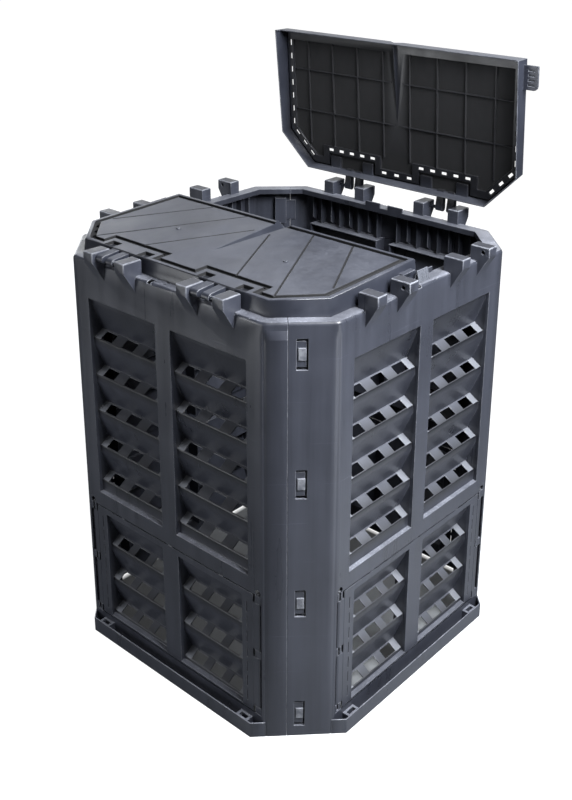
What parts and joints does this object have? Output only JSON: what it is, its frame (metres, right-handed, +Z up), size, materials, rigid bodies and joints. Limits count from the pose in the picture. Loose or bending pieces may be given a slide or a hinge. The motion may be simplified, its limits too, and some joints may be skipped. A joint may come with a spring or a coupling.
{
  "type": "garden compost bin",
  "caption": "Square garden compost bin with clipped louvred walls, hinged emptying hatches at the base and a split hinged lid with its far half open.",
  "frame": {"origin": "on the ground, under the middle of the bin's square base", "axes": "+Z up; +X towards the wall that carries the open lid half; -Y towards the front wall, which shows at the right in the picture"},
  "size_m": [0.86, 0.86, 1.4164],
  "materials": {
    "wall_plastic": "dark grey recycled plastic, satin with faint flow marks",
    "hatch_plastic": "dark grey recycled plastic, satin",
    "rod_plastic": "dark grey plastic, smooth",
    "lid_plastic": "dark blue-grey plastic, satin with faint flow marks",
    "catch_plastic": "dark grey plastic, smooth"
  },
  "bodies": {
    "bin": {"wall_panel_front": "wall_plastic", "wall_panel_right": "wall_plastic", "wall_panel_back": "wall_plastic", "wall_panel_left": "wall_plastic", "hinge_rod_front": "rod_plastic", "hinge_rod_right": "rod_plastic", "hinge_rod_back": "rod_plastic", "hinge_rod_left": "rod_plastic", "lid_catch_front": "catch_plastic", "lid_catch_back": "catch_plastic"},
    "hatch_front_door": {"hatch_front": "hatch_plastic", "latch_rod_front": "rod_plastic"},
    "hatch_right_door": {"hatch_right": "hatch_plastic", "latch_rod_right": "rod_plastic"},
    "hatch_back_door": {"hatch_back": "hatch_plastic", "latch_rod_back": "rod_plastic"},
    "hatch_left_door": {"hatch_left": "hatch_plastic", "latch_rod_left": "rod_plastic"},
    "lid_left_half": {"lid_left": "lid_plastic"},
    "lid_right_half": {"lid_right": "lid_plastic"}
  },
  "joints": [
    {"name": "hatch_front_swing", "type": "hinge", "parent": "bin", "child": "hatch_front_door", "pos_m": [0.2755, -0.394, 0.2], "axis": [0, 0, 1], "range_deg": [0, 100]},
    {"name": "hatch_right_swing", "type": "hinge", "parent": "bin", "child": "hatch_right_door", "pos_m": [0.394, 0.2755, 0.2], "axis": [0, 0, 1], "range_deg": [0, 100]},
    {"name": "hatch_back_swing", "type": "hinge", "parent": "bin", "child": "hatch_back_door", "pos_m": [-0.2755, 0.394, 0.2], "axis": [0, 0, 1], "range_deg": [0, 100]},
    {"name": "hatch_left_swing", "type": "hinge", "parent": "bin", "child": "hatch_left_door", "pos_m": [-0.394, -0.2755, 0.2], "axis": [0, 0, 1], "range_deg": [0, 100]},
    {"name": "lid_left_hinge", "type": "hinge", "parent": "bin", "child": "lid_left_half", "pos_m": [-0.413, 0, 1.0135], "axis": [0, -1, 0], "range_deg": [0, 95]},
    {"name": "lid_right_hinge", "type": "hinge", "parent": "bin", "child": "lid_right_half", "pos_m": [0.413, 0, 1.0135], "axis": [0, 1, 0], "range_deg": [-84, 11]}
  ]
}
